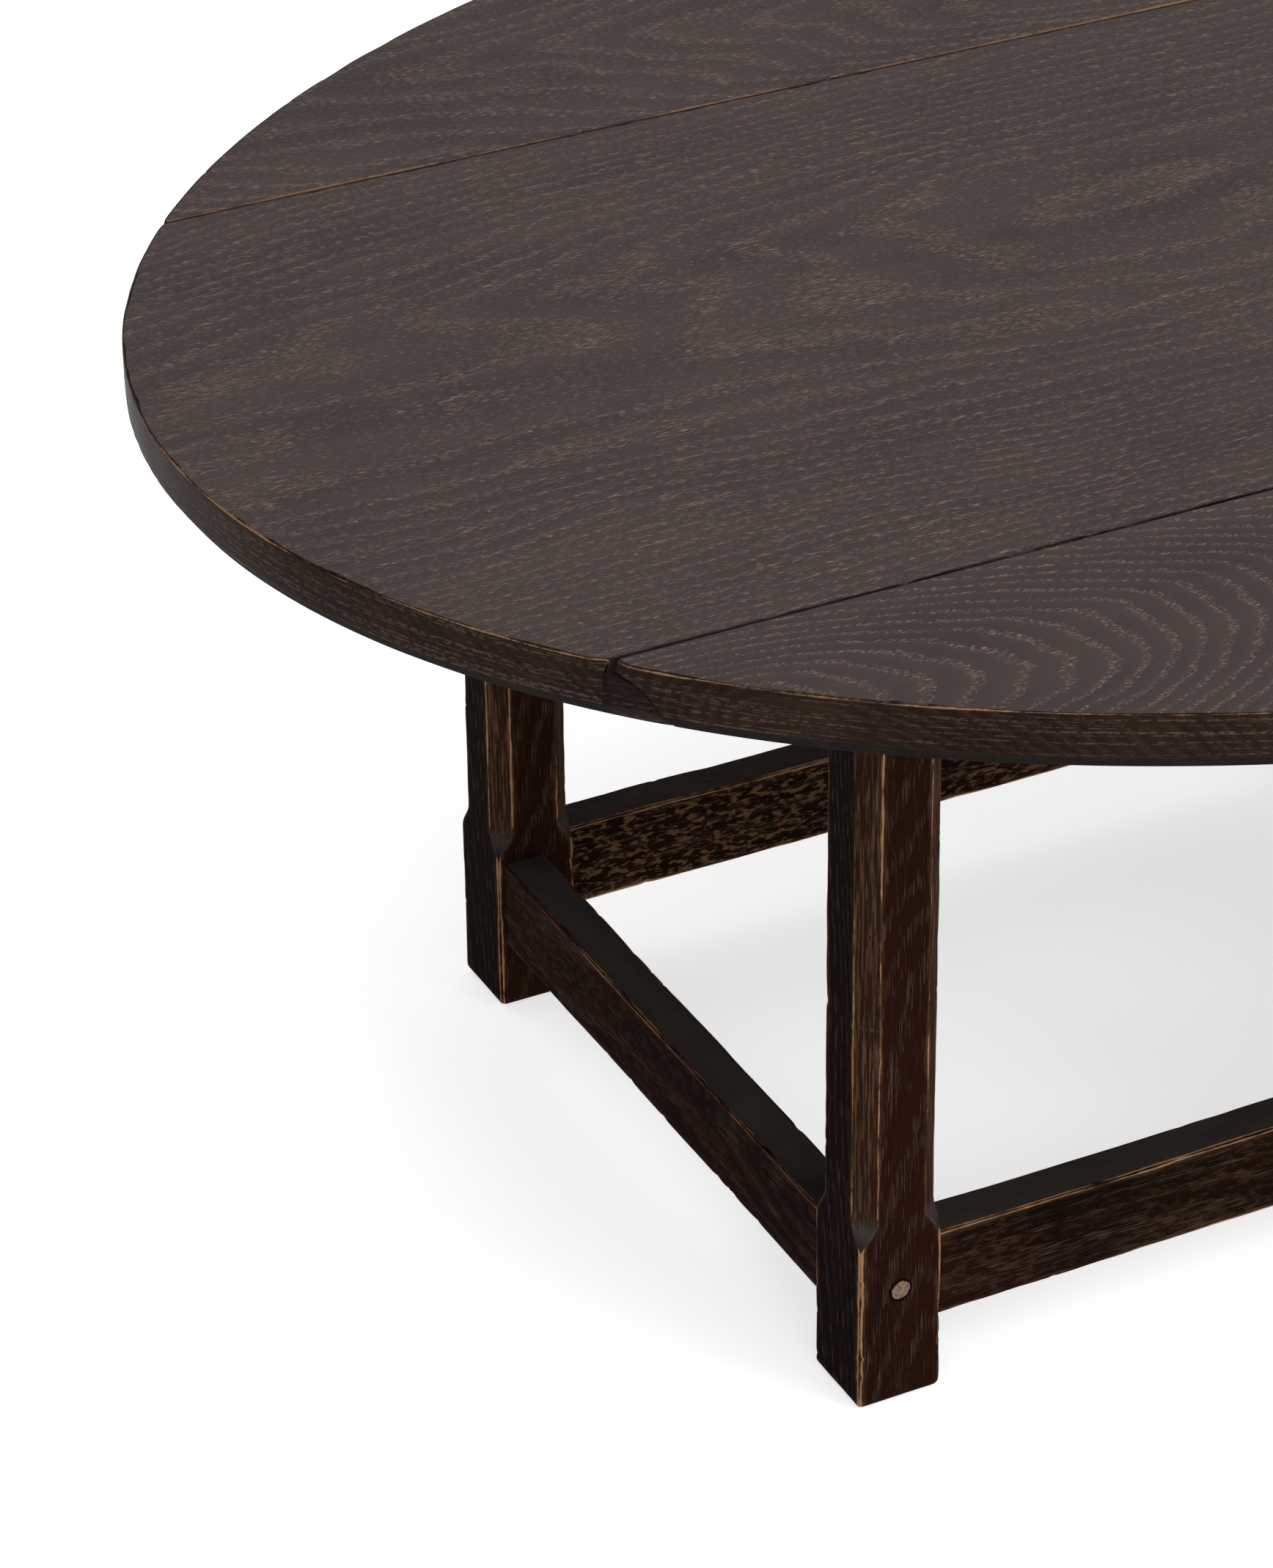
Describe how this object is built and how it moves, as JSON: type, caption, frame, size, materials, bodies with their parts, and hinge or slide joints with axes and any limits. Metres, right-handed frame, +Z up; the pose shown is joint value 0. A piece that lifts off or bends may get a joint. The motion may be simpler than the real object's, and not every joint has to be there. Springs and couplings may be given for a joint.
{
  "type": "gateleg table",
  "caption": "Low oval gateleg table in dark oak: rule-jointed drop leaves, stop-chamfered legs, stretchers, and swinging gates that fold into the frame.",
  "frame": {"origin": "on the floor, under the middle of the top and of the frame", "axes": "+X along the rule joints (the top's length), +Y towards the back leaf, +Z up"},
  "size_m": [1.355, 0.96, 0.457],
  "materials": {
    "oak_top": "satin, dark stained, open grain",
    "oak_frame": "satin, dark stained, arrises worn to bare wood",
    "oak_peg": "matt end grain",
    "oak_pale": "matt, unfinished",
    "hinge_iron": "black, dull",
    "pin_steel": "dull",
    "screw_steel": "dull"
  },
  "bodies": {
    "frame": {"centre_board": "oak_top", "leg_front_left": "oak_frame", "leg_front_right": "oak_frame", "leg_back_left": "oak_frame", "leg_back_right": "oak_frame", "apron_front": "oak_frame", "apron_back": "oak_frame", "apron_left": "oak_frame", "apron_right": "oak_frame", "stretcher_front": "oak_frame", "stretcher_back": "oak_frame", "stretcher_left": "oak_frame", "stretcher_right": "oak_frame", "frame_pegs": "oak_peg", "gate_pivots": "pin_steel", "buttons": "oak_pale", "button_screws": "screw_steel", "plate_fixed_front_left": "hinge_iron", "plate_fixed_front_middle": "hinge_iron", "plate_fixed_front_right": "hinge_iron", "plate_fixed_back_left": "hinge_iron", "plate_fixed_back_middle": "hinge_iron", "plate_fixed_back_right": "hinge_iron", "hinge_pins": "pin_steel", "screws_fixed": "screw_steel"},
    "leaf_front": {"leaf_front": "oak_top", "screws_leaf_front": "screw_steel", "stops_front": "oak_frame", "plate_leaf_front_left": "hinge_iron", "plate_leaf_front_middle": "hinge_iron", "plate_leaf_front_right": "hinge_iron"},
    "leaf_back": {"leaf_back": "oak_top", "screws_leaf_back": "screw_steel", "stops_back": "oak_frame", "plate_leaf_back_left": "hinge_iron", "plate_leaf_back_middle": "hinge_iron", "plate_leaf_back_right": "hinge_iron"},
    "gate_front_left": {"gate_leg_front_left": "oak_frame", "gate_post_front_left": "oak_frame", "gate_top_rail_front_left": "oak_frame", "gate_bottom_rail_front_left": "oak_frame", "gate_pegs_front_left": "oak_peg"},
    "gate_front_right": {"gate_leg_front_right": "oak_frame", "gate_post_front_right": "oak_frame", "gate_top_rail_front_right": "oak_frame", "gate_bottom_rail_front_right": "oak_frame", "gate_pegs_front_right": "oak_peg"},
    "gate_back_left": {"gate_leg_back_left": "oak_frame", "gate_post_back_left": "oak_frame", "gate_top_rail_back_left": "oak_frame", "gate_bottom_rail_back_left": "oak_frame", "gate_pegs_back_left": "oak_peg"},
    "gate_back_right": {"gate_leg_back_right": "oak_frame", "gate_post_back_right": "oak_frame", "gate_top_rail_back_right": "oak_frame", "gate_bottom_rail_back_right": "oak_frame", "gate_pegs_back_right": "oak_peg"}
  },
  "joints": [
    {"name": "leaf_front_drop", "type": "hinge", "parent": "frame", "child": "leaf_front", "pos_m": [0, -0.239, 0.432], "axis": [-1, 0, 0], "range_deg": [-90, 0]},
    {"name": "gate_front_left_swing", "type": "hinge", "parent": "frame", "child": "gate_front_left", "pos_m": [-0.0955, -0.2025, 0.2335], "axis": [0, 0, -1], "range_deg": [0, 90]},
    {"name": "gate_front_right_swing", "type": "hinge", "parent": "frame", "child": "gate_front_right", "pos_m": [0.1445, -0.2025, 0.2335], "axis": [0, 0, -1], "range_deg": [0, 90]},
    {"name": "leaf_back_drop", "type": "hinge", "parent": "frame", "child": "leaf_back", "pos_m": [0, 0.239, 0.432], "axis": [1, 0, 0], "range_deg": [-90, 0]},
    {"name": "gate_back_left_swing", "type": "hinge", "parent": "frame", "child": "gate_back_left", "pos_m": [-0.0955, 0.2025, 0.2335], "axis": [0, 0, 1], "range_deg": [0, 90]},
    {"name": "gate_back_right_swing", "type": "hinge", "parent": "frame", "child": "gate_back_right", "pos_m": [0.1445, 0.2025, 0.2335], "axis": [0, 0, 1], "range_deg": [0, 90]}
  ]
}
